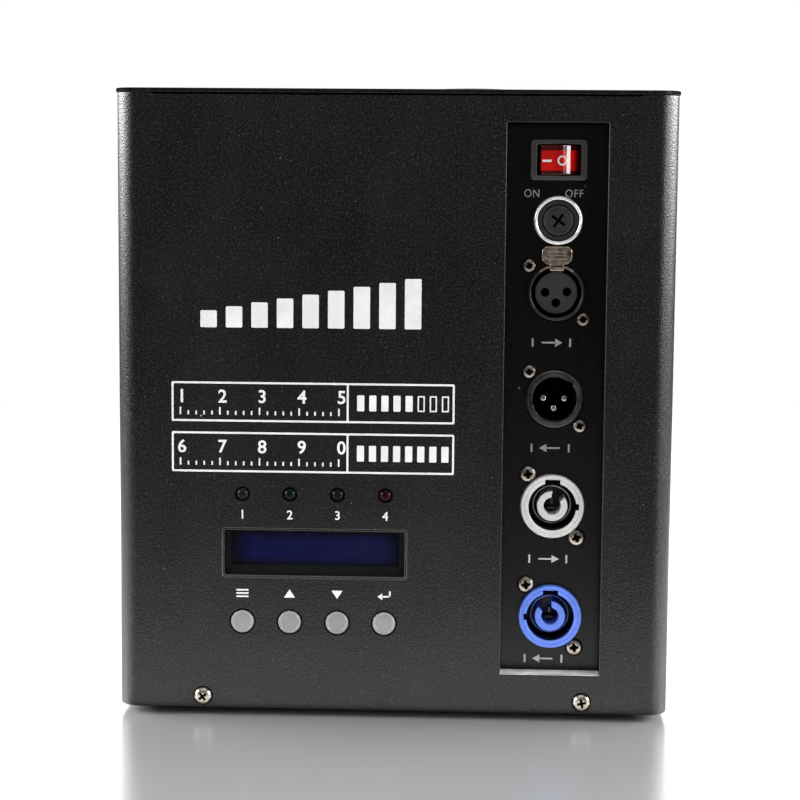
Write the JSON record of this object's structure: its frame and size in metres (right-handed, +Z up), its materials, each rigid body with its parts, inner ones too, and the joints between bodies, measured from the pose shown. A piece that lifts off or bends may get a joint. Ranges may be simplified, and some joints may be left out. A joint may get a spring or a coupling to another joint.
{
  "type": "cold spark machine",
  "caption": "Box-shaped cold spark fountain for stages: sheet-metal casing, round spark outlet and granule filler on top, recessed sockets and display in front, fan behind.",
  "frame": {"origin": "on the floor under the middle of the machine, at the lowest face of the rubber feet", "axes": "+Z up through the top plate, -Y out of the front with the display and sockets, +X to the right as seen from the front"},
  "size_m": [0.211, 0.196, 0.242],
  "materials": {
    "casing": "charcoal fine-texture powder coat, satin",
    "panel": "black powder coat, fine texture",
    "black_gloss": "dark grey moulded nylon, semi-gloss",
    "rocker_red": "red translucent polycarbonate, gloss",
    "chrome": "bright nickel-chrome plate",
    "black_plastic": "black moulded plastic, fine grain",
    "glass": "clear glass tube with nickel caps",
    "black_zinc": "die-cast shell, black oxide, worn bright at the rim",
    "nickel": "nickel-plated steel",
    "grey_plastic": "light grey moulded polyamide",
    "blue_plastic": "blue moulded polyamide",
    "window": "clear acrylic window",
    "display": "blue negative character display in a black frame",
    "board": "green solder-resist board",
    "collar_black": "gloss black enamel on turned metal",
    "stainless": "brushed stainless steel",
    "ceramic": "matt heat-proof ceramic",
    "cap_white": "bright satin metal cap, near white",
    "zinc_plate": "zinc-plated steel can",
    "aluminium": "folded aluminium case",
    "rubber": "black rubber",
    "screw_steel": "nickel-plated cross-head screws",
    "button_grey": "light grey moulded plastic",
    "lamp_clear": "dark tinted lamp, unlit"
  },
  "bodies": {
    "machine": {"body_shell": "casing", "lid_plate": "casing", "base_plate": "casing", "connector_panel": "panel", "rocker_housing": "black_gloss", "fuse_ring": "chrome", "fuse_holder": "black_plastic", "dmx_out_socket": "black_zinc", "dmx_in_socket": "black_zinc", "dmx_in_pins": "nickel", "power_out_socket": "grey_plastic", "power_in_socket": "blue_plastic", "display_window": "window", "display_module": "display", "control_board": "board", "fan_frame": "black_plastic", "outlet_collar": "collar_black", "spark_tube": "stainless", "heater_jacket": "ceramic", "blower_housing": "black_plastic", "granule_hopper": "stainless", "feed_tube": "stainless", "feed_motor": "zinc_plate", "power_supply": "aluminium", "foot_front_left": "rubber", "base_screw_front_left": "screw_steel", "foot_front_right": "rubber", "base_screw_front_right": "screw_steel", "foot_back_left": "rubber", "base_screw_back_left": "screw_steel", "foot_back_right": "rubber", "base_screw_back_right": "screw_steel", "fan_screw_top_left": "screw_steel", "fan_screw_top_right": "screw_steel", "fan_screw_bottom_left": "screw_steel", "fan_screw_bottom_right": "screw_steel", "dmx_out_screw_upper": "screw_steel", "dmx_out_screw_lower": "screw_steel", "dmx_in_screw_upper": "screw_steel", "dmx_in_screw_lower": "screw_steel", "power_out_screw_upper": "screw_steel", "power_out_screw_lower": "screw_steel", "power_in_screw_upper": "screw_steel", "power_in_screw_lower": "screw_steel", "indicator_lamp_1": "lamp_clear", "indicator_lamp_2": "lamp_clear", "indicator_lamp_3": "lamp_clear", "indicator_lamp_4": "lamp_clear"},
    "rocker": {"rocker_button": "rocker_red"},
    "dmx_out_release": {"dmx_out_latch": "nickel"},
    "fuse_carrier": {"fuse": "glass"},
    "fuse_cap": {"fuse_cap": "black_plastic"},
    "fan_rotor": {"fan_rotor": "black_plastic"},
    "blower_wheel": {"blower_impeller": "black_plastic"},
    "feed_screw": {"feed_auger": "stainless"},
    "filler_cap": {"filler_cap": "cap_white"},
    "button_1": {"push_button_1": "button_grey"},
    "button_2": {"push_button_2": "button_grey"},
    "button_3": {"push_button_3": "button_grey"},
    "button_4": {"push_button_4": "button_grey"}
  },
  "joints": [
    {"name": "rocker_switch", "type": "hinge", "parent": "machine", "child": "rocker", "pos_m": [0.0607, -0.0855, 0.2125], "axis": [0, 0, 1], "range_deg": [0, 24]},
    {"name": "dmx_out_release", "type": "hinge", "parent": "machine", "child": "dmx_out_release", "pos_m": [0.0605, -0.089, 0.1729], "axis": [-1, 0, 0], "range_deg": [0, 6], "stiffness_Nm_per_rad": 0.02, "springref_deg": -5.73},
    {"name": "fuse_withdraw", "type": "slide", "parent": "machine", "child": "fuse_carrier", "axis": [0, -1, 0], "range_m": [0, 0.03]},
    {"name": "fuse_cap_turn", "type": "hinge", "parent": "fuse_carrier", "child": "fuse_cap", "pos_m": [0.0608, -0.088, 0.19], "axis": [0, -1, 0], "range_deg": [0, 90]},
    {"name": "fan_spin", "type": "hinge", "parent": "machine", "child": "fan_rotor", "pos_m": [0, 0.0817, 0.176], "axis": [0, 1, 0], "continuous": true},
    {"name": "blower_spin", "type": "hinge", "parent": "machine", "child": "blower_wheel", "pos_m": [0.006, -0.01, 0.053], "axis": [0, 1, 0], "continuous": true},
    {"name": "feed_spin", "type": "hinge", "parent": "machine", "child": "feed_screw", "pos_m": [-0.055, 0.03, 0.148], "axis": [0.8966, -0.4429, 0], "continuous": true},
    {"name": "filler_cap_lift", "type": "slide", "parent": "machine", "child": "filler_cap", "axis": [0, 0, 1], "range_m": [0, 0.03]},
    {"name": "button_1_press", "type": "slide", "parent": "machine", "child": "button_1", "axis": [0, 1, 0], "range_m": [0, 0.001], "stiffness_N_per_m": 400, "springref_m": -0.001},
    {"name": "button_2_press", "type": "slide", "parent": "machine", "child": "button_2", "axis": [0, 1, 0], "range_m": [0, 0.001], "stiffness_N_per_m": 400, "springref_m": -0.001},
    {"name": "button_3_press", "type": "slide", "parent": "machine", "child": "button_3", "axis": [0, 1, 0], "range_m": [0, 0.001], "stiffness_N_per_m": 400, "springref_m": -0.001},
    {"name": "button_4_press", "type": "slide", "parent": "machine", "child": "button_4", "axis": [0, 1, 0], "range_m": [0, 0.001], "stiffness_N_per_m": 400, "springref_m": -0.001}
  ]
}
